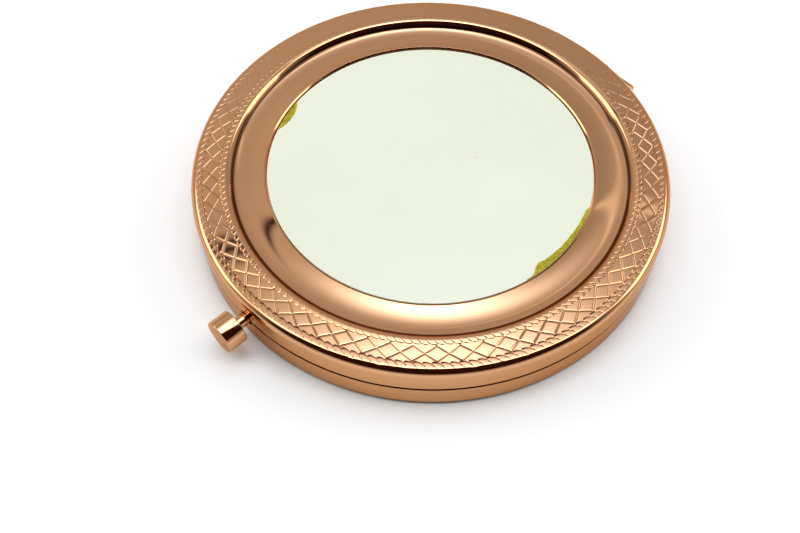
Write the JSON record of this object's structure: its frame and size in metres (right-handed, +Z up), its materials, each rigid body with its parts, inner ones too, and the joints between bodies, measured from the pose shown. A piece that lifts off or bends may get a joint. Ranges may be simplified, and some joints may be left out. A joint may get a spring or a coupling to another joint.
{
  "type": "compact mirror",
  "caption": "Round pocket compact mirror with an engraved plated lid, a pale round insert in its top, a push-button latch at the front and a hinge at the rear.",
  "frame": {"origin": "middle of the flat underside of the base", "axes": "+Z up through the lid, -Y towards the push button, +Y towards the hinge"},
  "size_m": [0.07, 0.0767, 0.0087],
  "materials": {
    "rose_gold_plate": "polished rose gold plating",
    "plated_plastic": "satin rose gold plating on plastic",
    "mirror_glass": "silvered float glass",
    "coated_white": "gloss off-white coating",
    "glue": "set yellow glue",
    "foam_pad": "closed-cell foam tape",
    "steel": "bright drawn steel"
  },
  "bodies": {
    "base": {"base_shell": "rose_gold_plate", "base_mirror_pad": "foam_pad", "base_mirror": "mirror_glass", "base_bezel": "plated_plastic", "base_hinge_leaf": "rose_gold_plate", "hinge_pin": "steel", "latch_guide": "steel", "latch_spring": "steel"},
    "lid": {"lid_shell": "rose_gold_plate", "insert_plate": "coated_white", "insert_adhesive": "glue", "glue_squeeze_out": "glue", "lid_mirror_pad": "foam_pad", "lid_mirror": "mirror_glass", "lid_bezel": "plated_plastic", "lid_hinge_leaf": "rose_gold_plate", "lid_catch": "steel"},
    "button": {"button_knob": "rose_gold_plate", "button_stem": "rose_gold_plate", "latch_slide": "steel"}
  },
  "joints": [
    {"name": "lid_hinge", "type": "hinge", "parent": "base", "child": "lid", "pos_m": [0, 0.03605, 0.00422], "axis": [-1, 0, 0], "range_deg": [0, 160]},
    {"name": "button_press", "type": "slide", "parent": "base", "child": "button", "axis": [0, 1, 0], "range_m": [0, 0.001], "stiffness_N_per_m": 500, "springref_m": -0.002, "deforming": ["latch_spring"]}
  ]
}
